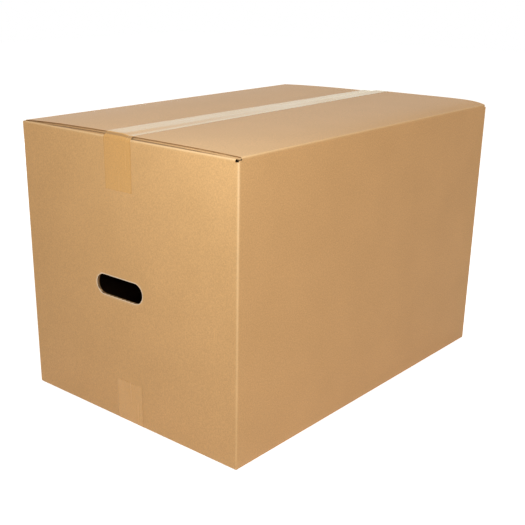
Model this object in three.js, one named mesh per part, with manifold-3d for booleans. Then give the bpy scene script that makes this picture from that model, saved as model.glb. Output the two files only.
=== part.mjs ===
import * as THREE from 'three';
import { mergeVertices } from 'three/addons/utils/BufferGeometryUtils.js';
import Module from 'manifold-3d';

// Moving box: one folded sheet of corrugated board, shut with a strip of packing tape above and below.
// Millimetres, +Z up, +X along the length. The origin is on the ground, under the middle of the box.

// Outside size of the set-up box, from crease to crease.
const length = 600;
const width = 400;
const height = 400;

// Single-wall corrugated board: two liners with a fluted medium between them.
const board = 4;
const liner = 0.3;
const medium = 0.5;
const flutePitch = 7.9;

// Folds. The outside of a crease is rounded and its inside is a sharp line.
const cornerRadius = 4;
const creaseRadius = 4;

// Slots part the flaps at each corner: how far a flap's side edge stands in from the wall beside it,
// and how far the slot's end reaches past the crease.
const slotInset = 5.5;
const slotDepth = 5;

// Flaps. The long ones meet at a seam, and the short ones dive under them just behind their crease.
const seamGap = 2;
const plyGap = 0.3;
const nestLength = 14;
const lidCrown = 5;
const baseCrown = 0;

// Glue tab: a strip past the crease of one wall, glued inside the raw edge of the next wall.
const tabWidth = 35;
const tabSetback = 16;
const tabTaper = 8;
const glueLine = 0.3;
const rawEdgeGap = 1;

// Hand hole in each end wall: a slot with round ends, punched a little off and below the middle.
const handHoleWidth = 90;
const handHoleHeight = 29;
const handHoleOffset = 10;
const handHoleLevel = 196;

// Depth of the open flutes behind a cut edge.
const edgeRecess = 4;

// Packing tape: one strip over each seam, with a tail on each end wall below or above the crease.
const tapeWidth = 50;
const tapeThickness = 0.3;
const tapeGap = 0.3;
const topTail = 70;
const bottomTail = 62;
const topTapeOffset = 3.8;
const bottomTapeOffset = -4.7;

// Facets of half a rounded fold, steps of a flap's curve, and the least distance between two points.
const foldFacets = 3;
const curveSteps = 8;
const leastStep = 0.001;

// Levels of the outer faces at the lower and the upper creases.
const baseLevel = tapeThickness + tapeGap;
const lidLevel = baseLevel + height;

// All eight flaps have one cut length, so that the long ones nearly meet in the middle.
const flapReach = (width - seamGap) / 2;

// The long flaps are level next to the seam, where the tape lies on them.
const seamLevelWidth = tapeWidth / 2 + Math.max(Math.abs(topTapeOffset), Math.abs(bottomTapeOffset)) + seamGap;

const wasm = await Module();
wasm.setup();

const toX = new THREE.Vector3(1, 0, 0);
const toY = new THREE.Vector3(0, 1, 0);
const toZ = new THREE.Vector3(0, 0, 1);
const reversed = (direction) => direction.clone().negate();

function solidOf(geometry) {
  geometry.deleteAttribute('normal');
  geometry.deleteAttribute('uv');
  const merged = mergeVertices(geometry);
  return new wasm.Manifold(new wasm.Mesh({
    numProp: 3,
    vertProperties: new Float32Array(merged.attributes.position.array),
    triVerts: new Uint32Array(merged.index.array),
  }));
}

function geometryOf(solid) {
  const mesh = solid.getMesh();
  const geometry = new THREE.BufferGeometry();
  geometry.setAttribute('position', new THREE.BufferAttribute(mesh.vertProperties, 3));
  geometry.setIndex(new THREE.BufferAttribute(mesh.triVerts, 1));
  geometry.computeVertexNormals();
  return geometry;
}

// The points of an outline, without those that repeat the one before.
function distinct(points) {
  return points.filter((point, i) => point.distanceTo(points.at(i - 1)) > leastStep);
}

// A section drawn in (inward, outward), swept along the third direction and centred on it.
function swept(section, span, at, inward, outward) {
  const outline = new THREE.Shape(distinct(section.getPoints(foldFacets * 2)));
  const geometry = new THREE.ExtrudeGeometry(outline, { depth: span, bevelEnabled: false });
  geometry.translate(0, 0, -span / 2);
  const along = new THREE.Vector3().crossVectors(inward, outward);
  geometry.applyMatrix4(new THREE.Matrix4().makeBasis(inward, outward, along).setPosition(at));
  return solidOf(geometry);
}

function outlineOf(points) {
  return new THREE.Shape(points.map(([x, y]) => new THREE.Vector2(x, y)));
}

// Line of a long flap's outer face: it leaves the crease and arches up to a level strip at the seam.
function longFlapLine(crown) {
  const arch = flapReach - seamLevelWidth - creaseRadius;
  const line = [];
  for (let i = 0; i <= curveSteps; i += 1) {
    const share = i / curveSteps;
    line.push([creaseRadius + arch * share, crown * (1 - (1 - share) ** 2)]);
  }
  line.push([flapReach, crown]);
  return line;
}

// Line of a short flap's outer face: it bends down under the long flaps and then lies level.
function shortFlapLine() {
  const drop = board + plyGap;
  const line = [];
  for (let i = 0; i <= curveSteps; i += 1) {
    const share = i / curveSteps;
    line.push([creaseRadius + nestLength * share, -drop * share ** 2 * (3 - 2 * share)]);
  }
  line.push([flapReach, -drop]);
  return line;
}

// Section of a flap with the top of its wall. The wall part reaches down past the slot's end.
function flapSection(line, thickness) {
  const foot = -slotDepth - board;
  const section = new THREE.Shape();
  section.moveTo(0, foot);
  section.lineTo(0, -creaseRadius);
  section.absarc(creaseRadius, -creaseRadius, creaseRadius, Math.PI, Math.PI / 2, true);
  line.slice(1).forEach(([x, y]) => section.lineTo(x, y));
  const below = line.filter(([x]) => x > thickness).reverse();
  below.forEach(([x, y]) => section.lineTo(x, y - thickness));
  section.lineTo(thickness, -thickness);
  section.lineTo(thickness, foot);
  return section;
}

// The open space between the liners, seen at a cut edge that runs along the flutes.
function fluteSection(line) {
  const above = line.map(([x, y]) => [x, y - liner]);
  const below = line.map(([x, y]) => [x, y - board + liner]).reverse();
  return outlineOf([...above, ...below]);
}

// Walls: the sheet in plan, round three creased corners, with the fourth closed by the glue tab.
function walls() {
  const x = length / 2;
  const y = width / 2;
  const r = cornerRadius;
  const tabFace = x - board - glueLine;
  const plan = new THREE.Shape();
  plan.moveTo(x, y - rawEdgeGap);
  plan.lineTo(x, -y + r);
  plan.absarc(x - r, -y + r, r, 0, -Math.PI / 2, true);
  plan.lineTo(-x + r, -y);
  plan.absarc(-x + r, -y + r, r, -Math.PI / 2, -Math.PI, true);
  plan.lineTo(-x, y - r);
  plan.absarc(-x + r, y - r, r, Math.PI, Math.PI / 2, true);
  plan.lineTo(tabFace - r, y);
  plan.absarc(tabFace - r, y - r, r, Math.PI / 2, 0, true);
  plan.lineTo(tabFace, y - r - rawEdgeGap);
  plan.lineTo(tabFace - board, y - r - rawEdgeGap);
  plan.lineTo(tabFace - board, y - board);
  plan.lineTo(-x + board, y - board);
  plan.lineTo(-x + board, -y + board);
  plan.lineTo(x - board, -y + board);
  plan.lineTo(x - board, y - rawEdgeGap);
  const span = height - 2 * slotDepth;
  const middle = new THREE.Vector3(0, 0, baseLevel + height / 2);
  const sheet = swept(plan, span, middle, toX, toY);

  // The glue tab lies inside the end wall and is tapered at both ends, clear of the short flaps.
  const root = y - r;
  const tip = y - tabWidth;
  const low = baseLevel + tabSetback;
  const high = lidLevel - tabSetback;
  const tabShape = outlineOf([[root, low], [root, high], [tip, high - tabTaper], [tip, low + tabTaper]]);
  const tab = swept(tabShape, board, new THREE.Vector3(tabFace - board / 2, 0, 0), toY, toZ);

  // The raw edge of the end wall shows the space between its liners.
  const rawEdge = outlineOf([
    [x - liner, y - rawEdgeGap - edgeRecess], [x - liner, y],
    [x - board + liner, y], [x - board + liner, y - rawEdgeGap - edgeRecess],
  ]);
  return sheet.add(tab).subtract(swept(rawEdge, height, middle, toX, toY));
}

// The flaps of the lid or of the base, as one list of solids.
function flaps(level, outward, crown) {
  const longLine = longFlapLine(crown);
  const shortSpan = width - 2 * slotInset;
  const made = [];
  const overShort = [];
  for (const inward of [toY, reversed(toY)]) {
    // The wall that carries the glue tab ends one board short, and so does its flap.
    const short = inward.y < 0 ? board + glueLine : 0;
    const longSpan = length - 2 * slotInset - short;
    const foot = inward.clone().multiplyScalar(-width / 2).setX(-short / 2).setZ(level);
    const whole = swept(flapSection(longLine, board), longSpan, foot, inward, outward);
    const groove = fluteSection(longLine);
    const cuts = [-1, 1].map((end) => {
      const at = foot.clone().setX(foot.x + (end * longSpan) / 2);
      return swept(groove, 2 * edgeRecess, at, inward, outward);
    });
    made.push(cuts.reduce((rest, cut) => rest.subtract(cut), whole));
    overShort.push(swept(flapSection(longLine, board + plyGap), longSpan + 2 * plyGap, foot, inward, outward));
  }
  for (const inward of [toX, reversed(toX)]) {
    const foot = inward.clone().multiplyScalar(-length / 2).setZ(level);
    const flat = swept(flapSection(shortFlapLine(), board), shortSpan, foot, inward, outward);
    // Behind its crease the short flap is crushed by the long flaps that are pressed onto it.
    made.push(overShort.reduce((rest, cover) => rest.subtract(cover), flat));
  }
  return made;
}

// Half height of the hand hole at a distance from its middle.
function handHoleReach(distance) {
  const round = handHoleHeight / 2;
  const past = Math.max(0, Math.abs(distance) - (handHoleWidth / 2 - round));
  return Math.sqrt(Math.max(0, round ** 2 - past ** 2));
}

// The hand hole of the end wall that faces along outward, with the flutes that its edge cuts open.
function handHole(outward) {
  const round = handHoleHeight / 2;
  const straight = handHoleWidth / 2 - round;
  const slot = new THREE.Shape();
  slot.moveTo(-straight, -round);
  slot.lineTo(straight, -round);
  slot.absarc(straight, 0, round, -Math.PI / 2, Math.PI / 2, false);
  slot.lineTo(-straight, round);
  slot.absarc(-straight, 0, round, Math.PI / 2, Math.PI * 1.5, false);
  const side = new THREE.Vector3().crossVectors(toZ, outward);
  const middle = outward.clone().multiplyScalar(length / 2);
  middle.addScaledVector(side, -handHoleOffset).setZ(handHoleLevel);
  const cuts = [swept(slot, 4 * board, middle, side, toZ)];

  // Flutes are upright channels with a three-sided section, in turn against the outer and inner liner.
  const rise = board - 2 * liner - medium;
  const half = (flutePitch - medium) / 2;
  const last = Math.floor(handHoleWidth / flutePitch);
  for (let i = -last; i <= last; i += 1) {
    const across = (i * flutePitch) / 2;
    const reach = handHoleReach(across);
    if (reach > 0) {
      const outer = i % 2 === 0;
      const seat = outer ? -liner : -board + liner;
      const tip = outer ? seat - rise : seat + rise;
      const channel = outlineOf([[across - half, seat], [across + half, seat], [across, tip]]);
      cuts.push(swept(channel, 2 * (reach + edgeRecess), middle, side, outward));
    }
  }
  return cuts;
}

// Path of a strip that wraps over the lid or base along X and down both ends, offset from the board.
function wrap(offset, crown, tail) {
  const edge = length / 2 - slotInset;
  const over = slotInset - creaseRadius;
  const drop = creaseRadius + crown;
  const bend = Math.acos(creaseRadius / Math.hypot(over, drop)) - Math.atan2(over, drop);
  const path = new THREE.Path();
  path.moveTo(0, crown + offset);
  path.lineTo(edge, crown + offset);
  path.absarc(edge, crown, offset, Math.PI / 2, Math.PI / 2 - bend, true);
  path.absarc(length / 2 - creaseRadius, -creaseRadius, creaseRadius + offset, Math.PI / 2 - bend, 0, true);
  path.lineTo(length / 2 + offset, -tail);
  const right = distinct(path.getPoints(foldFacets)).map((point) => [point.x, point.y]);
  const left = right.slice(1).reverse().map(([x, y]) => [-x, y]);
  return [...left, ...right];
}

function tape(level, outward, crown, tail, offset) {
  const inside = wrap(tapeGap, crown, tail);
  const outside = wrap(tapeGap + tapeThickness, crown, tail).reverse();
  return swept(outlineOf([...inside, ...outside]), tapeWidth, new THREE.Vector3(0, offset, level), toX, outward);
}

const sheet = [
  ...flaps(lidLevel, toZ, lidCrown),
  ...flaps(baseLevel, reversed(toZ), baseCrown),
].reduce((whole, flap) => whole.add(flap), walls());
const carton = [...handHole(toX), ...handHole(reversed(toX))].reduce((rest, cut) => rest.subtract(cut), sheet);

const kraftBoard = new THREE.MeshStandardMaterial({ color: 0xc8a069, roughness: 0.85, metalness: 0 });
const packingFilm = new THREE.MeshStandardMaterial({ color: 0xdcb67e, roughness: 0.25, metalness: 0 });

function piece(name, solid, material) {
  const mesh = new THREE.Mesh(geometryOf(solid), material);
  mesh.name = name;
  return mesh;
}

const movingBox = new THREE.Group();
movingBox.add(piece('carton', carton, kraftBoard));
movingBox.add(piece('top_tape', tape(lidLevel, toZ, lidCrown, topTail, topTapeOffset), packingFilm));
movingBox.add(piece(
  'bottom_tape',
  tape(baseLevel, reversed(toZ), baseCrown, bottomTail, bottomTapeOffset),
  packingFilm,
));

export default movingBox;
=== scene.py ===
import math
import bmesh
import bpy
import numpy as np
from mathutils import Matrix, Vector


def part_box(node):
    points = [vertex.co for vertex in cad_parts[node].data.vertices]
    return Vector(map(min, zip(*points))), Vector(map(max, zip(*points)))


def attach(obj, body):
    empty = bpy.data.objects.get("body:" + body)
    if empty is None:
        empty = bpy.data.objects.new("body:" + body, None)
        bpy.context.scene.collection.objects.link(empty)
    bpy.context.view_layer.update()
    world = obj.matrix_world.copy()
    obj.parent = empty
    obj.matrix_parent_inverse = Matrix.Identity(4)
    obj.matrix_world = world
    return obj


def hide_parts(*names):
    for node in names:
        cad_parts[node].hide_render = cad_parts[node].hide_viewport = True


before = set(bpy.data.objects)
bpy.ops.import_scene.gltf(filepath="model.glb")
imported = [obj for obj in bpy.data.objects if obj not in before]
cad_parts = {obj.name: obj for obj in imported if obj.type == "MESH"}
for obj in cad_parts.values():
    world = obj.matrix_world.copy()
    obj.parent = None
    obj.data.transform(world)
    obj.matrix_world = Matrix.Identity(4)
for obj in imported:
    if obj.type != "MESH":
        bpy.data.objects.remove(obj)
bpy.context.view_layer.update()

# All sizes are in millimetres until a mesh is made. The frame gives the overall size.
MM = 0.001
card_low, card_high = (np.array(corner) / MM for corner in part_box("carton"))
top_low, top_high = (np.array(corner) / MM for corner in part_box("top_tape"))
base_low, base_high = (np.array(corner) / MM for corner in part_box("bottom_tape"))

LENGTH = card_high[0] - card_low[0]
WIDTH = card_high[1] - card_low[1]
BASE_LEVEL = card_low[2]
LID_CROWN = 5.0
LID_LEVEL = card_high[2] - LID_CROWN

# Single-wall board: two liners and the fluted paper between them. The fluted paper is made only in a band
# along the cut edges. It starts a little inside the cut and keeps clear of the board's faces, and the inner
# liner stops just short of the board's inner face.
BOARD = 4.0
LINER = 0.35
MEDIUM = 0.28
FLUTE_PITCH = 7.9
EDGE_BAND = 14.0
CUT_INSET = 0.3
FLUTE_CLEARANCE = 0.1
INNER_FACE_GAP = 0.05

# Folds, slots and flaps. The end walls' upper creases are scored lower than the sides', so that the long
# flaps can lie over the short ones: by the first figure at the near side and the second at the far side. The
# top of the wall, as high as DROP_HEIGHT, takes this up. The slot where the near end meets the far side is cut
# less deep: it ends at facet SHALLOW_SLOT_STEP of the fold. A short flap dips under the long ones within
# NEST_LENGTH of its crease, and the glue tab stops short of the lid and the base by TAB_SET_BACK.
FOLD_RADIUS = 2.5
SLOT_INSET = 5.5
LID_SLOT_DEPTH = 4.2
BASE_SLOT_DEPTH = 0.2
SHALLOW_SLOT_STEP = 3
END_CREASE_DROP = (2.2, 0.5)
DROP_HEIGHT = 14.0
SEAM_GAP = 2.0
PLY_GAP = 0.3
GLUE_LINE = 0.3
RAW_EDGE_GAP = 1.0
TAB_WIDTH = 35.0
TAB_SET_BACK = 16.0
FLAP_REACH = (WIDTH - SEAM_GAP) / 2
NEST_LENGTH = 3.0

# How far the two long lid flaps stand above the crease beside the seam, at the near and the far end.
NEAR_FLAP_CROWN = (2.2, 4.9)
FAR_FLAP_CROWN = (3.9, 3.2)

# How soon each long flap rises to its crown behind the crease: the higher, the sooner.
NEAR_FLAP_SHOULDER = (3.0, 12.0)
FAR_FLAP_SHOULDER = (3.0, 3.0)

# Hand holes.
HOLE_WIDTH = 90.0
HOLE_HEIGHT = 29.0
HOLE_OFFSET = 10.0
HOLE_LEVEL = 196.0

# Spacing of the sheet's mesh, closer behind the creases where a flap bends, and facets of a quarter fold.
CELL = 12.0
SHOULDER_REACH = 30.0
SHOULDER_CELL = 3.0
NEST_CELL = 0.75
FOLD_STEPS = 8

# Mesh round a hand hole: how far its window stands clear of the hole, how many points of the hole face one
# cell of the rim, and where its rings lie on the way from the hole (0) to the rim (1).
WINDOW_MARGIN = 6.0
POINTS_PER_CELL = 3
RING_SHARES = (0, 0.06, 0.3, 0.65)

# Mesh of the fluted strips: across the flutes, down a corner's slot, and outwards and round a hand hole.
FLUTE_CELL = 0.8
SLOT_CELL = 2.0
HOLE_RING_CELL = 1.0
HOLE_RING_COUNT = 213

# Cuts that lie closer than this are one, and so are points. TINY is how far past a border a place still
# counts as inside. Edges that turn by more than these angles, in degrees, stay sharp.
SAME_CUT = 1e-6
SAME_POINT = 0.002
TINY = 1e-9
BOARD_SHARP = 35
FLUTE_SHARP = 50
TAPE_SHARP = 40

# Reach of the paler mark along a crease, partly crushed fibre and partly a painted highlight on the fold, the
# share of it left low on the box's corners, where the painted highlight fades, and the reach of the torn
# fibres round a hand hole.
CREASE_MARK = 2.2
LOW_CORNER_HIGHLIGHT = 0.35
TORN_MARK = 0.9

# Tape: a film a little off the board. It slopes from the higher flap to the lower one beside the seam, rounds
# the flaps' end edges, and is cut with teeth. Its path has so many points round a flap's edge, round the
# crease below it, and down the tail, which starts a little below the crease.
TAPE_WIDTH = top_high[1] - top_low[1]
TAPE_FILM = 0.12
TAPE_LIFT = 0.08
TOOTH_PITCH = 2.5
TOOTH_DEPTH = 1.0
SEAM_BRIDGE = 14.0
EDGE_ROUND = 0.6
TAPE_CELL = 15.0
EDGE_POINTS = 4
BEND_POINTS = 7
TAIL_POINTS = 10
TAIL_START = 3.0

# Colours.
KRAFT_DARK = "#BF915A"
KRAFT_LIGHT = "#CA9A62"
CREASE_FIBRE_AND_HIGHLIGHT = "#EBCB9C"
TORN_FIBRE = "#F2DFC2"
RECYCLED_DARK = "#7C5A36"
RECYCLED_LIGHT = "#8A6640"
FLUTING_DARK = "#BB915E"
FLUTING_LIGHT = "#C69C69"
TAPED_DARK = "#BE8743"
TAPED_LIGHT = "#C8914B"
# Painted shade of the gaps under the clear film: the seam between the lid flaps and the gap past their end
# edges.
GAP_SHADE_UNDER_FILM = "#8A6338"
# Painted shade along the film's edges, where it stands off the board.
FILM_EDGE_SHADE = "#9A6A2E"
FILM_SHEEN = "#F8FFB4"
FILM_GLOSS = "#FFF4C8"

# Sizes of what shows in the paper, and how strongly its flecks show and its creases are painted paler, partly
# as crushed fibre and partly as a painted highlight. Real flecks are under a millimetre: they are drawn
# coarser, to show.
CLOUD_SIZE = 70.0
FLECK_SIZE = 1.8
FLECK_SHADE = (0.9, 1.1)
FIBRE_SIZE = 1.4
FIBRE_HEIGHT = 0.15
RIB_HEIGHT = 0.06
CREASE_STRENGTH = 0.35

# What shows through the film or in it, and how strongly: a faint line over the seam, painted shade of the gap
# below the clear film, which fades between two distances from it; the dark gap past the end edges of the long
# flaps, also painted shade, down to a depth below the lid's crease level; a line of painted shade that grows
# towards each edge of the strip; and streaks along it.
SEAM_LINE = (0.3, 1.6)
SEAM_SHADE_STRENGTH = 0.1
GAP_MIDDLE = 1.6
GAP_HALF_WIDTH = 1.1
GAP_DEPTH = 3.0
GAP_SHADE_STRENGTH = 0.65
EDGE_LINE = (1.6, 0.4)
EDGE_SHADE_STRENGTH = 0.22
STREAK_LENGTH = 90.0
STREAK_WIDTH = 4.0
FILM_ROUGHNESS = (0.12, 0.3)

# The middle of a noise's values, where most of them lie, and how many radians one unit of a wave texture is.
NOISE_RANGE = (0.3, 0.7)
WAVE_RADIANS = 20.0

# Camera, solved from the corners of the box in the photograph. That was cropped, so the middle of its lens
# lies left of and below the picture's middle: the shift is a share of the picture's width.
CAMERA_PLACE = (-1051.5, -848.4, 594.8)
CAMERA_FORWARD = (0.70248, 0.62371, -0.3428)
CAMERA_RIGHT = (0.665, -0.74683, 0.0039)
LENS = 61.41
SENSOR_WIDTH = 36.0
LENS_SHIFT = 0.07

# The room and its floor.
ROOM_LEVEL = 0.46
ROOM_TONE = "#FFF4E6"
FLOOR_REACH = 6000.0
FLOOR_SHADE = 0.9
FLOOR_GLOW = 0.72

# Lamps: name, place, the point that it faces, size, power in watts, and colour. Places and sizes in metres.
LAMPS = (
    ("key_softbox", (-1.1, -1.6, 1.25), (0.0, 0.0, 0.2), 0.9, 16.3, "#F4F7FF"),
    ("back_lamp", (1.4, 1.8, 0.2), (0.0, 0.0, 0.2), 0.35, 12.0, "#F4F7FF"),
    ("top_softbox", (0.25, 0.3, 1.5), (0.1, 0.1, 0.4), 0.8, 2.9, "#EAFFF6"),
    ("corner_lamp", (-0.63, -0.3, 0.63), (-0.3, -0.12, 0.4), 0.2, 2.55, "#D6EAFF"),
)

HALF_LENGTH = LENGTH / 2
HALF_WIDTH = WIDTH / 2
WALL_RISE = LID_LEVEL - BASE_LEVEL
QUARTER = FOLD_RADIUS * math.pi / 2
TAB_FACE = HALF_LENGTH - BOARD - GLUE_LINE


# The sheet in plan. u is measured along the outer face, round the box, from the raw edge of the far end wall
# to the tip of the glue tab. Each stretch is straight or a rounded corner.
def plan_stretches():
    """Each stretch: its panel, start (or a corner's middle), direction (or first angle) and length."""
    x, y = HALF_LENGTH, HALF_WIDTH
    in_x, in_y, in_tab = x - FOLD_RADIUS, y - FOLD_RADIUS, TAB_FACE - FOLD_RADIUS
    return [
        ("far_end", (x, y - RAW_EDGE_GAP), (0, -1), 2 * y - RAW_EDGE_GAP - FOLD_RADIUS),
        ("corner", (in_x, -in_y), 0, QUARTER),
        ("near_side", (in_x, -y), (-1, 0), 2 * in_x),
        ("corner", (-in_x, -in_y), -math.pi / 2, QUARTER),
        ("near_end", (-x, -in_y), (0, 1), 2 * in_y),
        ("corner", (-in_x, in_y), -math.pi, QUARTER),
        ("far_side", (-in_x, y), (1, 0), in_tab + in_x),
        ("corner", (in_tab, in_y), -1.5 * math.pi, QUARTER),
        ("tab", (TAB_FACE, in_y), (0, -1), TAB_WIDTH - FOLD_RADIUS),
    ]


STRETCHES = plan_stretches()
STARTS = np.concatenate([[0.0], np.cumsum([s[3] for s in STRETCHES])])
PANEL = {s[0]: (STARTS[i], STARTS[i + 1]) for i, s in enumerate(STRETCHES) if s[0] != "corner"}
LONG_PANELS = ("near_side", "far_side")
SHORT_PANELS = ("near_end", "far_end")


def plan_point(u):
    """Place and outward direction on the outer face, for each distance round the box."""
    place = np.zeros((len(u), 2))
    outward = np.zeros((len(u), 2))
    for i, (name, point, turn, _) in enumerate(STRETCHES):
        last = i == len(STRETCHES) - 1
        inside = (u >= STARTS[i] - TINY) & ((u < STARTS[i + 1] - TINY) | last)
        along = u[inside] - STARTS[i]
        if name == "corner":
            angle = turn - along / FOLD_RADIUS
            direction = np.stack([np.cos(angle), np.sin(angle)], 1)
            place[inside] = np.array(point) + FOLD_RADIUS * direction
            outward[inside] = direction
        else:
            place[inside] = np.array(point) + along[:, None] * np.array(turn)
            outward[inside] = np.array([-turn[1], turn[0]])
    return place, outward


def ease(share):
    """A smooth rise from 0 to 1."""
    share = np.clip(share, 0, 1)
    return share * share * (3 - 2 * share)


def along_box(ends, x):
    """A value that runs straight from its figure at the near end to that at the far end."""
    return ends[0] + (ends[1] - ends[0]) * (x + HALF_LENGTH) / LENGTH


def arch(inward, x, y, upper):
    """Height of a long flap's outer face above its crease. The base flaps are pressed flat."""
    near_side = y < 0
    crown = np.where(near_side, along_box(NEAR_FLAP_CROWN, x), along_box(FAR_FLAP_CROWN, x))
    shoulder = np.where(near_side, along_box(NEAR_FLAP_SHOULDER, x), along_box(FAR_FLAP_SHOULDER, x))
    share = np.clip((inward - FOLD_RADIUS) / (FLAP_REACH - FOLD_RADIUS), 0, 1)
    return np.where(upper, crown * (1 - (1 - share) ** shoulder), 0.0)


def end_drop(y):
    """How far an end wall's upper crease lies below the sides' creases."""
    return END_CREASE_DROP[0] + (END_CREASE_DROP[1] - END_CREASE_DROP[0]) * (y + HALF_WIDTH) / WIDTH


def short_share(u):
    """1 on the end walls and their flaps, 0 on the long sides, and a slope round the corners."""
    share = np.zeros(len(u))
    for name in SHORT_PANELS:
        start, end = PANEL[name]
        share = np.maximum(share, 1 - np.clip(np.maximum(start - u, u - end) / QUARTER, 0, 1))
    return share


def fold(u, v, depth):
    """Folds the flat sheet: u runs round the box, v up the sheet, depth in from the outer face."""
    u, v, depth = (np.asarray(a, float) for a in (u, v, depth))
    place, outward = plan_point(u)
    upper = v > WALL_RISE / 2
    sign = np.where(upper, 1.0, -1.0)
    past = np.where(upper, v - (WALL_RISE - FOLD_RADIUS), FOLD_RADIUS - v)
    angle = np.clip(past / FOLD_RADIUS, 0, math.pi / 2)
    over = np.maximum(past - QUARTER, 0)
    on_wall = past <= 0
    radius = np.maximum(FOLD_RADIUS - depth, 0)
    inward = np.maximum(np.where(on_wall, depth, FOLD_RADIUS - radius * np.cos(angle) + over), depth)
    rise = np.where(depth > FOLD_RADIUS, -depth, -FOLD_RADIUS + radius * np.sin(angle))

    share = short_share(u)
    drop = np.where(upper, end_drop(place[:, 1]) * share, 0.0)
    seat = place - outward * np.where(on_wall, 0, FOLD_RADIUS + over)[:, None]
    lift_long = arch(FOLD_RADIUS + over, seat[:, 0], outward[:, 1], upper)
    above = arch(HALF_WIDTH - np.abs(place[:, 1]), place[:, 0], place[:, 1], upper)
    lift_short = (above + drop - BOARD - PLY_GAP) * ease(over / NEST_LENGTH)
    lift = np.where(share > 0.5, lift_short, lift_long) * (over > 0)
    flap_z = np.where(upper, LID_LEVEL - drop, BASE_LEVEL) + sign * (rise + lift)

    lower_part = drop * np.clip((v - (WALL_RISE - DROP_HEIGHT)) / (DROP_HEIGHT - FOLD_RADIUS), 0, 1)
    ceiling = np.where(upper, LID_LEVEL - drop - np.maximum(depth, FOLD_RADIUS), LID_LEVEL)
    ground = np.where(upper, BASE_LEVEL, BASE_LEVEL + np.maximum(depth, FOLD_RADIUS))
    wall_z = np.clip(BASE_LEVEL + v - lower_part, ground, ceiling)
    place = place - outward * inward[:, None]
    reach = np.where(u > PANEL["far_side"][1] + TINY, TAB_FACE, HALF_LENGTH) - depth
    x = np.where(on_wall, np.clip(place[:, 0], -reach, reach), place[:, 0])
    y = np.where(on_wall, np.clip(place[:, 1], depth - HALF_WIDTH, HALF_WIDTH - depth), place[:, 1])
    return np.column_stack([x, y, np.where(on_wall, wall_z, flap_z)])


# Meshes
def mesh_object(name, points, faces, uv=None, marks=None):
    """A mesh from points in millimetres, with its blank coordinates as a UV map in metres."""
    mesh = bpy.data.meshes.new(name)
    mesh.from_pydata((np.asarray(points) * MM).tolist(), [], faces)
    corner = np.zeros(len(mesh.loops), int)
    mesh.loops.foreach_get("vertex_index", corner)
    if uv is not None:
        layer = mesh.uv_layers.new(name="blank")
        layer.data.foreach_set("uv", (np.asarray(uv) * MM)[corner].astype(np.float32).ravel())
    for mark, values in (marks or {}).items():
        attribute = mesh.attributes.new(mark, "FLOAT", "POINT")
        attribute.data.foreach_set("value", np.asarray(values, np.float32))
    mesh.validate()
    mesh.update()
    piece = bpy.data.objects.new(name, mesh)
    bpy.context.scene.collection.objects.link(piece)
    return piece


def shade_smooth(piece, angle):
    """Smooth shading with sharp edges kept where faces meet at more than the angle."""
    mesh = piece.data
    mesh.polygons.foreach_set("use_smooth", np.ones(len(mesh.polygons), bool))
    mesh.set_sharp_from_angle(angle=math.radians(angle))


def spread(low, high, cell):
    """Even cuts from low to high, about one cell apart."""
    count = max(1, int(round((high - low) / cell)))
    return list(np.linspace(low, high, count + 1))


def merge_cuts(*lists):
    """All cuts of the lists in order, each once."""
    cuts = sorted(value for values in lists for value in values)
    kept = [cuts[0]]
    for value in cuts[1:]:
        if value - kept[-1] > SAME_CUT:
            kept.append(value)
    return kept


def flap_span(name):
    """First and last u of a panel's flaps, between its slots."""
    start, end = PANEL[name]
    first = SLOT_INSET - RAW_EDGE_GAP if name == "far_end" else SLOT_INSET - FOLD_RADIUS
    return start + first, end - (SLOT_INSET - FOLD_RADIUS)


def hole_outline(count, grow=0.0):
    """Points round the hand hole's edge, from its middle right side, anticlockwise, and grown outwards."""
    straight = HOLE_WIDTH / 2 - HOLE_HEIGHT / 2
    radius = HOLE_HEIGHT / 2
    wide = radius + grow
    lengths = [radius * math.pi / 2, 2 * straight, radius * math.pi, 2 * straight, radius * math.pi / 2]
    points = []
    for distance in np.linspace(0, sum(lengths), count, endpoint=False):
        left = distance
        part = 0
        while left > lengths[part]:
            left -= lengths[part]
            part += 1
        turn = left / radius
        points.append([
            (straight + wide * math.cos(turn), wide * math.sin(turn)),
            (straight - left, wide),
            (-straight - wide * math.sin(turn), wide * math.cos(turn)),
            (-straight + left, -wide),
            (straight + wide * math.sin(turn), -wide * math.cos(turn)),
        ][part])
    return np.array(points)


def hole_middle(name):
    """Where a hand hole lies on the flat sheet. Both were punched by the same die."""
    start = PANEL[name][0]
    y_start = HALF_WIDTH - RAW_EDGE_GAP if name == "far_end" else -HALF_WIDTH + FOLD_RADIUS
    y_middle = -HOLE_OFFSET if name == "far_end" else HOLE_OFFSET
    return start + abs(y_middle - y_start), HOLE_LEVEL - BASE_LEVEL


def window_of(name, rows, columns):
    """The block of cells round a hand hole that its own ring of faces takes the place of."""
    u_middle, v_middle = hole_middle(name)
    across = HOLE_WIDTH / 2 + WINDOW_MARGIN
    along = HOLE_HEIGHT / 2 + WINDOW_MARGIN
    u_low = max(cut for cut in columns if cut <= u_middle - across)
    u_high = min(cut for cut in columns if cut >= u_middle + across)
    v_low = max(cut for cut in rows if cut <= v_middle - along)
    v_high = min(cut for cut in rows if cut >= v_middle + along)
    return u_low, u_high, v_low, v_high


def flap_rows():
    """Distances behind the crease, close together where a flap bends."""
    nest = spread(0, NEST_LENGTH, NEST_CELL)
    shoulder = spread(NEST_LENGTH, SHOULDER_REACH, SHOULDER_CELL)
    return merge_cuts(nest, shoulder, spread(SHOULDER_REACH, FLAP_REACH - FOLD_RADIUS, CELL))


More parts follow.
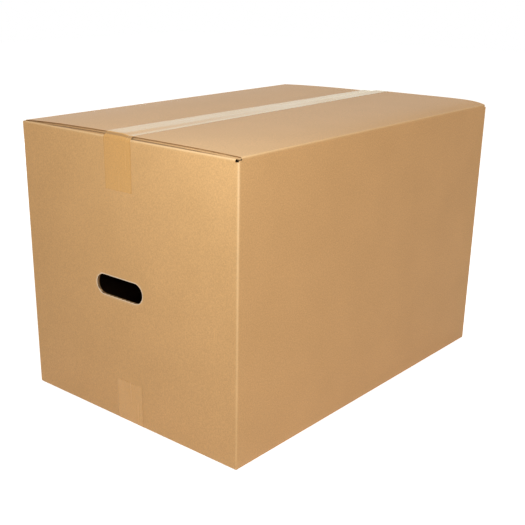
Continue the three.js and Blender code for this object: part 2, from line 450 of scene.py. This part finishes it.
def blank_mesh(outer_paper):
    """The flat sheet as cut and slotted: points (u, v) and faces, with the hand holes left open.

    Only the outer paper runs into the rounded folds between the slots, at the base and at the shallow slot of
    the lid. The inner one is cut back there.
    """
    columns = [spread(STARTS[i], STARTS[i + 1], QUARTER / FOLD_STEPS if s[0] == "corner" else CELL)
               for i, s in enumerate(STRETCHES)]
    spans = {name: flap_span(name) for name in LONG_PANELS + SHORT_PANELS}
    columns = merge_cuts(*columns, *[list(span) for span in spans.values()])
    wall = [FOLD_RADIUS, WALL_RISE - FOLD_RADIUS]
    slot = [BASE_SLOT_DEPTH if outer_paper else LID_SLOT_DEPTH, WALL_RISE - LID_SLOT_DEPTH]
    over = flap_rows()
    lid_rows = [WALL_RISE - FOLD_RADIUS + QUARTER + w for w in over]
    base_rows = [FOLD_RADIUS - QUARTER - w for w in over]
    folds = spread(WALL_RISE - FOLD_RADIUS, WALL_RISE - FOLD_RADIUS + QUARTER, QUARTER / FOLD_STEPS)
    base_folds = spread(FOLD_RADIUS - QUARTER, FOLD_RADIUS, QUARTER / FOLD_STEPS)
    rows = merge_cuts(spread(*slot, CELL), wall, slot, lid_rows, base_rows, folds, base_folds)
    shallow = (PANEL["near_end"][1] - SLOT_INSET, PANEL["far_side"][0] + SLOT_INSET)
    index = {}
    points = []

    def point(u, v):
        key = (round(u, 4), round(v, 4))
        if key not in index:
            index[key] = len(points)
            points.append((u, v))
        return index[key]

    wall_rows = [cut for cut in rows if slot[0] < cut < slot[1]]
    windows = {name: window_of(name, wall_rows, columns) for name in SHORT_PANELS}
    faces = []
    for u0, u1 in zip(columns, columns[1:]):
        u = (u0 + u1) / 2
        on_flap = any(low < u < high for low, high in spans.values())
        for v0, v1 in zip(rows, rows[1:]):
            v = (v0 + v1) / 2
            top = folds[SHALLOW_SLOT_STEP] if outer_paper and shallow[0] < u < shallow[1] else slot[1]
            if not slot[0] < v < top and not on_flap:
                continue
            if u > PANEL["tab"][0] and not TAB_SET_BACK < v < WALL_RISE - TAB_SET_BACK:
                continue
            if any(w[0] < u < w[1] and w[2] < v < w[3] for w in windows.values()):
                continue
            faces.append((point(u0, v0), point(u1, v0), point(u1, v1), point(u0, v1)))
    for name, (u_low, u_high, v_low, v_high) in windows.items():
        us = [cut for cut in columns if u_low <= cut <= u_high]
        vs = [cut for cut in rows if v_low <= cut <= v_high]
        rim = [(u_high, v) for v in vs[:-1]] + [(u, v_high) for u in us[:0:-1]]
        rim += [(u_low, v) for v in vs[:0:-1]] + [(u, v_low) for u in us[:-1]]
        faces += hole_ring(rim, hole_middle(name), point)
    return np.array(points), faces


def hole_ring(rim, middle, point):
    """Faces between a window's rim and the smooth edge of the hand hole, in rings that refine inwards."""
    fine = POINTS_PER_CELL
    edge = hole_outline(len(rim) * fine) + np.array(middle)
    rim_points = np.array(rim)
    dense = np.repeat(rim_points, fine, 0).astype(float)
    for i in range(len(rim)):
        here, there = rim_points[i], rim_points[(i + 1) % len(rim)]
        for j in range(fine):
            dense[i * fine + j] = here + (there - here) * j / fine
    shift = int(np.argmin([np.abs(np.roll(edge, k, 0) - dense).sum() for k in range(len(edge))]))
    edge = np.roll(edge, shift, 0)
    rings = [edge + (dense - edge) * share for share in RING_SHARES]
    ids = [[point(*p) for p in ring] for ring in rings]
    outer = [point(*p) for p in rim]
    count = len(edge)
    faces = []
    for a, b in zip(ids, ids[1:]):
        faces += [(a[i], b[i], b[(i + 1) % count], a[(i + 1) % count]) for i in range(count)]
    last = ids[-1]
    for i in range(len(rim)):
        inner = [last[(i * fine + j) % count] for j in range(fine, -1, -1)]
        faces.append((outer[i], outer[(i + 1) % len(rim)], *inner))
    return faces


def slab(points, faces, outer, inner):
    """Closes a flat mesh into a sheet between two depths. Returns points, depths and faces."""
    count = len(points)
    used = dict.fromkeys((a, b) for face in faces for a, b in zip(face, face[1:] + face[:1]))
    border = [(a, b) for a, b in used if (b, a) not in used]
    both = np.vstack([points, points])
    depth = np.concatenate([np.full(count, outer), np.full(count, inner)])
    front = [tuple(face[::-1]) for face in faces]
    back = [tuple(i + count for i in face) for face in faces]
    walls = [(a, b, b + count, a + count) for a, b in border]
    return both, depth, front + back + walls


def crease_fibre_and_highlight(points):
    """How pale a fold is painted, partly as crushed fibre and partly as a painted highlight on the fold: 1 on
    a crease, 0 on a flat panel. Corners fade lower down, as the painted highlight does.
    """
    u, v = points[:, 0], points[:, 1]
    marks = np.zeros(len(points))
    highlight_fade = LOW_CORNER_HIGHLIGHT + (1 - LOW_CORNER_HIGHLIGHT) * np.clip(v / WALL_RISE, 0, 1)
    for i, stretch in enumerate(STRETCHES):
        if stretch[0] == "corner":
            near = np.abs(u - (STARTS[i] + STARTS[i + 1]) / 2)
            marks = np.maximum(marks, highlight_fade * np.clip(1 - near / CREASE_MARK, 0, 1))
    for middle in (FOLD_RADIUS - QUARTER / 2, WALL_RISE - FOLD_RADIUS + QUARTER / 2):
        marks = np.maximum(marks, np.clip(1 - np.abs(v - middle) / CREASE_MARK, 0, 1))
    return marks


def torn_marks(points):
    """1 on the cut edge of a hand hole, falling to 0 just outside it."""
    near = np.full(len(points), np.inf)
    straight = HOLE_WIDTH / 2 - HOLE_HEIGHT / 2
    for name in SHORT_PANELS:
        u_middle, v_middle = hole_middle(name)
        across = np.maximum(np.abs(points[:, 0] - u_middle) - straight, 0)
        gap = np.hypot(across, points[:, 1] - v_middle) - HOLE_HEIGHT / 2
        near = np.minimum(near, np.abs(gap))
    return np.clip(1 - near / TORN_MARK, 0, 1)


def board_piece(name, outer, inner):
    """One liner of the folded box, between two depths in from the board's outer face."""
    points, faces = blank_mesh(outer_paper=outer == 0)
    flat, depth, closed = slab(points, faces, outer, inner)
    folded = fold(flat[:, 0], flat[:, 1], depth)
    marks = {"crease": crease_fibre_and_highlight(flat), "torn": torn_marks(flat)}
    piece = mesh_object(name, folded, closed, uv=flat, marks=marks)
    mend(piece)
    shade_smooth(piece, BOARD_SHARP)
    return piece


def mend(piece):
    """Merges what a sharp inner corner has brought together, and turns every face outwards."""
    work = bmesh.new()
    work.from_mesh(piece.data)
    bmesh.ops.remove_doubles(work, verts=work.verts, dist=SAME_POINT * MM)
    bmesh.ops.dissolve_degenerate(work, edges=work.edges, dist=SAME_POINT * MM)
    bmesh.ops.recalc_face_normals(work, faces=work.faces)
    work.to_mesh(piece.data)
    work.free()


# The fluted paper, seen only where the board is cut
def flute_tree():
    """Presses flutes into a flat strip of paper: a wave across the strip's first axis."""
    tree = bpy.data.node_groups.new("flute_press", "GeometryNodeTree")
    for name, kind in (("Geometry", "Geometry"), ("Flute pitch", "Float"), ("Flute height", "Float"),
                       ("Paper", "Material")):
        tree.interface.new_socket(name, in_out="INPUT", socket_type="NodeSocket" + kind)
    tree.interface.new_socket("Geometry", in_out="OUTPUT", socket_type="NodeSocketGeometry")
    add = adder(tree)
    group_in = add("NodeGroupInput")
    place = add("GeometryNodeInputPosition").outputs["Position"]
    axes = add("ShaderNodeSeparateXYZ", {"Vector": place})
    start = add("GeometryNodeInputNamedAttribute", data_type="FLOAT", in_Name="flute_start")
    along = maths(add, "SUBTRACT", axes.outputs["X"], start.outputs["Attribute"])
    turns = maths(add, "DIVIDE", along, group_in.outputs["Flute pitch"])
    wave = maths(add, "SINE", maths(add, "MULTIPLY", turns, 2 * math.pi))
    half = maths(add, "MULTIPLY", group_in.outputs["Flute height"], 0.5)
    offset = add("ShaderNodeCombineXYZ", {"Z": maths(add, "MULTIPLY", wave, half)})
    sheet = group_in.outputs["Geometry"]
    pressed = add("GeometryNodeSetPosition", {"Geometry": sheet, "Offset": offset.outputs["Vector"]})
    whole = add("GeometryNodeRealizeInstances", {"Geometry": pressed.outputs["Geometry"]})
    paper = add("GeometryNodeSetMaterial",
                {"Geometry": whole.outputs["Geometry"], "Material": group_in.outputs["Paper"]})
    add("NodeGroupOutput", {"Geometry": paper.outputs["Geometry"]})
    return tree


def strip(us, vs):
    """A flat strip of cells between two lists of cuts."""
    points = [(u, v) for v in vs for u in us]
    wide = len(us)
    faces = [(j * wide + i, j * wide + i + 1, (j + 1) * wide + i + 1, (j + 1) * wide + i)
             for j in range(len(vs) - 1) for i in range(wide - 1)]
    return points, faces


def hole_strip(name):
    """A ring of cells round a hand hole."""
    around = HOLE_RING_COUNT
    grown = spread(CUT_INSET, EDGE_BAND, HOLE_RING_CELL)
    rings = [hole_outline(around, grow) + np.array(hole_middle(name)) for grow in grown]
    points = [tuple(point) for ring in rings for point in ring]
    faces = []
    for start in range(0, (len(rings) - 1) * around, around):
        for i in range(around):
            a, b = start + i, start + (i + 1) % around
            faces.append((a, b, b + around, a + around))
    return points, faces


def cut_edge_strips():
    """Strips along every cut edge that can be seen, each with the place where its flutes start.

    At a flap's end the flute starts low at the cut and climbs away from it.
    """
    bands = []
    flap_ends = [WALL_RISE - FOLD_RADIUS + w for w in spread(0, QUARTER, QUARTER / 4)]
    flap_ends = merge_cuts(flap_ends, [WALL_RISE - FOLD_RADIUS + QUARTER + w for w in flap_rows()])
    base_ends = [WALL_RISE - v for v in flap_ends[::-1]]
    wall_rows = spread(FOLD_RADIUS, WALL_RISE - LID_SLOT_DEPTH, CELL)
    for name in LONG_PANELS:
        low, high = flap_span(name)
        for first, last, cut in ((low + CUT_INSET, low + EDGE_BAND, low + CUT_INSET),
                                 (high - EDGE_BAND, high - CUT_INSET, high - CUT_INSET)):
            us = spread(first, last, FLUTE_CELL)
            start = cut + FLUTE_PITCH / 4
            bands += [(*strip(us, flap_ends), start), (*strip(us, base_ends), start)]
    bands.append((*strip(spread(CUT_INSET, EDGE_BAND, FLUTE_CELL), wall_rows), FLUTE_PITCH / 4))
    slot = WALL_RISE - LID_SLOT_DEPTH
    slot_rows = spread(slot - EDGE_BAND, slot - CUT_INSET, SLOT_CELL)
    for name, first, last in zip((s[0] for s in STRETCHES[:6]), STARTS, STARTS[1:]):
        if name == "corner":
            bands.append((*strip(spread(first - SLOT_INSET, last + SLOT_INSET, FLUTE_CELL), slot_rows), 0.0))
    bands += [(*hole_strip(name), 0.0) for name in SHORT_PANELS]
    return bands


def fluted_paper(name, paper):
    """Fluted strips, pressed flat by Geometry Nodes and then folded with the sheet."""
    points, faces, starts = [], [], []
    for band_points, band_faces, start in cut_edge_strips():
        faces += [tuple(i + len(points) for i in face) for face in band_faces]
        points += band_points
        starts += [start * MM] * len(band_points)
    flat = np.column_stack([np.array(points), np.full(len(points), -BOARD / 2)])
    blank = mesh_object("flat_strips", flat, faces, marks={"flute_start": starts})
    press = blank.modifiers.new("flutes", "NODES")
    press.node_group = flute_tree()
    inputs = {item.name: item.identifier for item in press.node_group.interface.items_tree
              if item.in_out == "INPUT"}
    press[inputs["Flute pitch"]] = FLUTE_PITCH * MM
    press[inputs["Flute height"]] = (BOARD - 2 * LINER - MEDIUM) * MM
    press[inputs["Paper"]] = paper
    thicken = blank.modifiers.new("thickness", "SOLIDIFY")
    thicken.thickness = MEDIUM * MM
    thicken.offset = 0.0
    mesh = bpy.data.meshes.new_from_object(blank.evaluated_get(bpy.context.evaluated_depsgraph_get()))
    bpy.data.objects.remove(blank)
    place = np.zeros(len(mesh.vertices) * 3, np.float32)
    mesh.vertices.foreach_get("co", place)
    place = place.reshape(-1, 3) / MM
    depth = np.clip(-place[:, 2], FLUTE_CLEARANCE, BOARD - FLUTE_CLEARANCE)
    folded = fold(place[:, 0], place[:, 1], depth) * MM
    mesh.vertices.foreach_set("co", folded.astype(np.float32).ravel())
    mesh.update()
    piece = bpy.data.objects.new(name, mesh)
    mesh.name = name
    bpy.context.scene.collection.objects.link(piece)
    mend(piece)
    shade_smooth(piece, FLUTE_SHARP)
    return piece


# Tape. A strip runs along X over the lid or base, with a tail down each end.
def lid_height(x, y, upper):
    """Height at which the strip lies: on the flaps, with a short slope from the higher to the lower one."""
    reach = HALF_WIDTH - abs(y)
    near = float(arch(reach, x, -1.0, upper))
    far = float(arch(reach, x, 1.0, upper))
    own, other = (near, far) if y < 0 else (far, near)
    return own + max(other - own, 0.0) * (1 - float(ease(abs(y) / SEAM_BRIDGE)))


def tape_path(offset, side, y, upper, tail):
    """Points (x, height) of one lengthwise line of the strip, from the box's middle to its cut end."""
    edge = HALF_LENGTH - SLOT_INSET
    drop = end_drop(y) if upper else 0.0
    crown = lid_height(side * edge, y, upper)
    over = SLOT_INSET - FOLD_RADIUS
    below = FOLD_RADIUS + drop + crown
    bend = math.acos(FOLD_RADIUS / math.hypot(over, below)) - math.atan2(over, below)
    flat = spread(0, edge - EDGE_ROUND, TAPE_CELL)
    path = [(x, lid_height(side * x, y, upper) + offset) for x in flat]
    for turn in np.linspace(0, bend, EDGE_POINTS):
        path.append((edge - EDGE_ROUND + (EDGE_ROUND + offset) * math.sin(turn),
                     crown - EDGE_ROUND + (EDGE_ROUND + offset) * math.cos(turn)))
    radius = FOLD_RADIUS + offset
    for turn in np.linspace(bend, math.pi / 2, BEND_POINTS):
        path.append((HALF_LENGTH - FOLD_RADIUS + radius * math.sin(turn),
                     -drop - FOLD_RADIUS + radius * math.cos(turn)))
    heights = np.linspace(-drop - FOLD_RADIUS - TAIL_START, -tail, TAIL_POINTS)
    return path + [(HALF_LENGTH + offset, height) for height in heights]


def tape_piece(name, level, upper, tail, y_middle):
    """A strip of film with cut teeth at both ends, closed to a thin solid."""
    sign = 1.0 if upper else -1.0
    teeth = spread(-TAPE_WIDTH / 2, TAPE_WIDTH / 2, TOOTH_PITCH / 2)
    faces_of_film = []
    for offset in (TAPE_LIFT + TAPE_FILM, TAPE_LIFT):
        lines = []
        for j, y in enumerate(teeth):
            tooth = TOOTH_DEPTH / 2 if j % 2 else -TOOTH_DEPTH / 2
            halves = [[(side * x, z) for x, z in tape_path(offset, side, y + y_middle, upper, tail + tooth)]
                      for side in (-1, 1)]
            line = halves[0][::-1] + halves[1][1:]
            lines.append([(x, y + y_middle, level + sign * z) for x, z in line])
        faces_of_film.append(np.array(lines).transpose(1, 0, 2))
    outer, inner = faces_of_film
    count, wide = outer.shape[:2]
    points = np.vstack([outer.reshape(-1, 3), inner.reshape(-1, 3)])
    base = count * wide
    faces = []
    for i in range(count - 1):
        for j in range(wide - 1):
            a = i * wide + j
            faces.append((a, a + wide, a + wide + 1, a + 1))
            faces.append((base + a, base + a + 1, base + a + wide + 1, base + a + wide))
    rim = [i * wide for i in range(count)] + [(count - 1) * wide + j for j in range(1, wide)]
    rim += [i * wide + wide - 1 for i in range(count - 2, -1, -1)] + list(range(wide - 2, 0, -1))
    faces += [(a, base + a, base + b, b) for a, b in zip(rim, rim[1:] + rim[:1])]
    run = np.concatenate([[0], np.cumsum(np.linalg.norm(np.diff(outer[:, wide // 2], axis=0), axis=1))])
    uv = np.array([(run[i], teeth[j]) for i in range(count) for j in range(wide)] * 2)
    piece = mesh_object(name, points, faces, uv=uv)
    mend(piece)
    shade_smooth(piece, TAPE_SHARP)
    return piece


# Materials
def linear(code):
    """An sRGB hex colour as linear red, green, blue and alpha."""
    values = [int(code[i:i + 2], 16) / 255 for i in (1, 3, 5)]
    return [v / 12.92 if v <= 0.04045 else ((v + 0.055) / 1.055) ** 2.4 for v in values] + [1.0]


def adder(tree):
    """A function that adds one node to the tree, with its links, inputs and settings."""
    def add(kind, links=None, **settings):
        node = tree.nodes.new(kind)
        for key, value in settings.items():
            if key.startswith("in_"):
                socket = key[3:].replace("_", " ")
                node.inputs[int(socket) if socket.isdigit() else socket].default_value = value
            else:
                setattr(node, key, value)
        for socket, source in (links or {}).items():
            tree.links.new(source, node.inputs[socket])
        return node

    return add


def maths(add, operation, *values):
    """The result of a Math node. Each value is a number or the output of a node."""
    node = add("ShaderNodeMath", operation=operation)
    for socket, value in zip(node.inputs, values):
        if isinstance(value, bpy.types.NodeSocket):
            node.id_data.links.new(value, socket)
        else:
            socket.default_value = value
    return node.outputs["Value"]


def ramp(add, value, span, ends):
    """A value that runs from the first end to the second while the input crosses the span."""
    node = add("ShaderNodeMapRange", {"Value": value}, in_From_Min=span[0], in_From_Max=span[1],
               in_To_Min=ends[0], in_To_Max=ends[1])
    return node.outputs["Result"]


def new_material(name):
    material = bpy.data.materials.new(name)
    material.use_nodes = True
    material.node_tree.nodes.clear()
    return material, adder(material.node_tree)


def blend(add, factor, first, second):
    """A colour between two, each a hex code or the output of a node."""
    node = add("ShaderNodeMix", {"Factor": factor}, data_type="RGBA")
    for socket, colour in (("A", first), ("B", second)):
        if isinstance(colour, str):
            node.inputs[socket].default_value = linear(colour)
        else:
            node.id_data.links.new(colour, node.inputs[socket])
    return node.outputs["Result"]


def paper_pattern(add, dark, light):
    """Paper colour with soft clouding and flecks, and the height of its fibres."""
    place = add("ShaderNodeTexCoord").outputs["Object"]
    noises = [add("ShaderNodeTexNoise", {"Vector": place}, in_Scale=1 / (size * MM), in_Detail=detail)
              for size, detail in ((CLOUD_SIZE, 3.0), (FLECK_SIZE, 2.0), (FIBRE_SIZE, 2.0))]
    cloud, fleck, fibre = (noise.outputs["Fac"] for noise in noises)
    base = blend(add, cloud, dark, light)
    grain = ramp(add, fleck, NOISE_RANGE, FLECK_SHADE)
    shade = add("ShaderNodeVectorMath", {0: base, "Scale": grain}, operation="SCALE")
    return shade.outputs["Vector"], fibre


def kraft_liner():
    """Unbleached kraft linerboard, machine made: matt brown, flecked, and faintly ribbed by the flutes.

    Long fibres give it a soft sheen at low angles. Creases are painted paler, partly as crushed fibre and
    partly as a painted highlight on the fold, and cut edges show paler fibre.
    """
    material, add = new_material("kraft_liner")
    colour, fibre = paper_pattern(add, KRAFT_DARK, KRAFT_LIGHT)
    crease = add("ShaderNodeAttribute", attribute_name="crease").outputs["Fac"]
    torn = add("ShaderNodeAttribute", attribute_name="torn").outputs["Fac"]
    # Painted highlight, partly crushed fibre: the creases are blended towards a paler colour.
    colour = blend(add, maths(add, "MULTIPLY", crease, CREASE_STRENGTH), colour, CREASE_FIBRE_AND_HIGHLIGHT)
    colour = blend(add, torn, colour, TORN_FIBRE)
    blank = add("ShaderNodeUVMap", uv_map="blank").outputs["UV"]
    ribs = add("ShaderNodeTexWave", {"Vector": blank}, wave_type="BANDS", bands_direction="X",
               in_Scale=2 * math.pi / (WAVE_RADIANS * FLUTE_PITCH * MM))
    rib_bump = add("ShaderNodeBump", {"Height": ribs.outputs["Fac"]}, in_Strength=0.35,
                   in_Distance=RIB_HEIGHT * MM)
    bump = add("ShaderNodeBump", {"Height": fibre, "Normal": rib_bump.outputs["Normal"]}, in_Strength=0.25,
               in_Distance=FIBRE_HEIGHT * MM)
    shader = add("ShaderNodeBsdfPrincipled", {"Base Color": colour, "Normal": bump.outputs["Normal"]},
                 in_Roughness=0.58, in_IOR=1.47, in_Specular_IOR_Level=0.3,
                 in_Sheen_Weight=0.2, in_Sheen_Roughness=0.3)
    add("ShaderNodeOutputMaterial", {"Surface": shader.outputs["BSDF"]})
    return material


def plain_paper(name, dark, light):
    """Recycled paper, machine made: duller and darker than kraft, with no sheen."""
    material, add = new_material(name)
    colour, _ = paper_pattern(add, dark, light)
    shader = add("ShaderNodeBsdfPrincipled", {"Base Color": colour}, in_Roughness=0.9, in_IOR=1.45)
    add("ShaderNodeOutputMaterial", {"Surface": shader.outputs["BSDF"]})
    return material


def packing_film():
    """Clear polypropylene packing film, rolled with its glue: the kraft shows through it, warmer.

    A smooth coat reflects the light, and the film's haze whitens it at low angles. The seam, the gap past the
    flaps and the strip's own edges are painted as darker lines: painted shade of the gaps below the film and
    of its lifted edges.
    """
    material, add = new_material("packing_film")
    colour, _ = paper_pattern(add, TAPED_DARK, TAPED_LIGHT)
    place = add("ShaderNodeTexCoord").outputs["Object"]
    axes = add("ShaderNodeSeparateXYZ", {"Vector": place})
    # Painted shade: a faint line over the seam and a dark band past the long flaps' end edges, on the lid's
    # part of the strip, stand in for the shaded gaps below the film.
    from_seam = maths(add, "ABSOLUTE", axes.outputs["Y"])
    seam = ramp(add, from_seam, (SEAM_LINE[0] * MM, SEAM_LINE[1] * MM), (SEAM_SHADE_STRENGTH, 0.0))
    from_middle = maths(add, "ABSOLUTE", axes.outputs["X"])
    gap_place = (HALF_LENGTH - SLOT_INSET + GAP_MIDDLE) * MM
    in_gap = maths(add, "COMPARE", from_middle, gap_place, GAP_HALF_WIDTH * MM)
    darker = maths(add, "MAXIMUM", seam, maths(add, "MULTIPLY", in_gap, GAP_SHADE_STRENGTH))
    on_lid = maths(add, "GREATER_THAN", axes.outputs["Z"], (LID_LEVEL - GAP_DEPTH) * MM)
    colour = blend(add, maths(add, "MULTIPLY", darker, on_lid), colour, GAP_SHADE_UNDER_FILM)
    # Painted shade: the strip darkens towards each of its edges, where the film stands off the board.
    strip_place = add("ShaderNodeUVMap", uv_map="blank").outputs["UV"]
    across = add("ShaderNodeSeparateXYZ", {"Vector": strip_place})
    edge_span = [(TAPE_WIDTH / 2 - reach) * MM for reach in EDGE_LINE]
    edge = ramp(add, maths(add, "ABSOLUTE", across.outputs["Y"]), edge_span, (0.0, EDGE_SHADE_STRENGTH))
    colour = blend(add, edge, colour, FILM_EDGE_SHADE)
    stretch = add("ShaderNodeMapping", {"Vector": strip_place},
                  in_Scale=(1 / (STREAK_LENGTH * MM), 1 / (STREAK_WIDTH * MM), 1))
    streak = add("ShaderNodeTexNoise", {"Vector": stretch.outputs["Vector"]}, in_Scale=1.0, in_Detail=2.0)
    gloss = ramp(add, streak.outputs["Fac"], NOISE_RANGE, FILM_ROUGHNESS)
    shader = add("ShaderNodeBsdfPrincipled", {"Base Color": colour, "Roughness": gloss},
                 in_IOR=1.5, in_Specular_Tint=linear(FILM_GLOSS),
                 in_Coat_Weight=0.3, in_Coat_Roughness=0.25, in_Coat_IOR=1.5,
                 in_Sheen_Weight=0.26, in_Sheen_Roughness=0.3, in_Sheen_Tint=linear(FILM_SHEEN))
    add("ShaderNodeOutputMaterial", {"Surface": shader.outputs["BSDF"]})
    return material


# Camera, light and floor
def camera():
    """The photograph's camera."""
    place = Vector(CAMERA_PLACE) * MM
    forward = Vector(CAMERA_FORWARD).normalized()
    right = Vector(CAMERA_RIGHT).normalized()
    up = right.cross(forward)
    data = bpy.data.cameras.new("photo_camera")
    data.lens = LENS
    data.sensor_width = SENSOR_WIDTH
    data.shift_x = LENS_SHIFT
    data.shift_y = LENS_SHIFT
    data.clip_end = 50.0
    shooter = bpy.data.objects.new("photo_camera", data)
    shooter.matrix_world = Matrix((
        (right.x, up.x, -forward.x, place.x),
        (right.y, up.y, -forward.y, place.y),
        (right.z, up.z, -forward.z, place.z),
        (0, 0, 0, 1),
    ))
    bpy.context.scene.collection.objects.link(shooter)
    bpy.context.scene.camera = shooter


def area_lamp(name, place, aim, size, power, colour):
    """A square softbox that faces a point."""
    data = bpy.data.lights.new(name, "AREA")
    data.shape = "SQUARE"
    data.size = size
    data.energy = power
    data.color = linear(colour)[:3]
    lamp = bpy.data.objects.new(name, data)
    lamp.location = place
    lamp.rotation_euler = (Vector(aim) - Vector(place)).to_track_quat("-Z", "Y").to_euler()
    bpy.context.scene.collection.objects.link(lamp)


def is_seen(add):
    """1 for rays that show the background: straight from the camera, mirrored or through glass."""
    path = add("ShaderNodeLightPath").outputs
    mirrored = maths(add, "MAXIMUM", path["Is Camera Ray"], path["Is Glossy Ray"])
    return maths(add, "MAXIMUM", mirrored, path["Is Transmission Ray"])


def studio():
    """A plain white room with two softboxes, a small lamp by the near upper corner and a low one behind."""
    world = bpy.data.worlds.new("studio")
    bpy.context.scene.world = world
    world.use_nodes = True
    world.node_tree.nodes.clear()
    add = adder(world.node_tree)
    seen = is_seen(add)
    strength = ramp(add, seen, (0.0, 1.0), (ROOM_LEVEL, 1.0))
    colour = blend(add, seen, ROOM_TONE, "#FFFFFF")
    sky = add("ShaderNodeBackground", {"Strength": strength, "Color": colour})
    add("ShaderNodeOutputWorld", {"Surface": sky.outputs["Background"]})
    for lamp in LAMPS:
        area_lamp(*lamp)


def floor():
    """A pale floor that shows white and keeps the soft shadow of the box."""
    reach = FLOOR_REACH
    points = [(-reach, -reach, 0), (reach, -reach, 0), (reach, reach, 0), (-reach, reach, 0)]
    plane = mesh_object("studio_floor", points, [(0, 1, 2, 3)])
    material, add = new_material("white_floor")
    matt = add("ShaderNodeBsdfDiffuse", in_Color=(FLOOR_SHADE, FLOOR_SHADE, FLOOR_SHADE, 1))
    glow = add("ShaderNodeEmission", {"Strength": maths(add, "MULTIPLY", is_seen(add), FLOOR_GLOW)})
    both = add("ShaderNodeAddShader", {0: matt.outputs["BSDF"], 1: glow.outputs["Emission"]})
    add("ShaderNodeOutputMaterial", {"Surface": both.outputs["Shader"]})
    plane.data.materials.append(material)


# The box
def box_parts():
    """The board in three layers in place of the carton's solid, and two strips of film for the tapes."""
    outer = board_piece("outer_liner", 0.0, LINER)
    outer.data.materials.append(kraft_liner())
    inner = board_piece("inner_liner", BOARD - LINER, BOARD - INNER_FACE_GAP)
    inner.data.materials.append(plain_paper("recycled_liner", RECYCLED_DARK, RECYCLED_LIGHT))
    flutes = fluted_paper("fluted_paper", plain_paper("fluting_paper", FLUTING_DARK, FLUTING_LIGHT))
    for piece in (outer, inner, flutes):
        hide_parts("carton")
        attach(piece, "root")
    clear = packing_film()
    top_middle = (top_low[1] + top_high[1]) / 2
    base_middle = (base_low[1] + base_high[1]) / 2
    top = tape_piece("lid_tape", LID_LEVEL, True, LID_LEVEL - top_low[2], top_middle)
    base = tape_piece("base_tape", BASE_LEVEL, False, base_high[2] - BASE_LEVEL, base_middle)
    for piece, node in ((top, "top_tape"), (base, "bottom_tape")):
        piece.data.materials.append(clear)
        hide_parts(node)
        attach(piece, "root")


camera()
box_parts()
floor()
studio()
bpy.context.scene.view_settings.view_transform = "Standard"
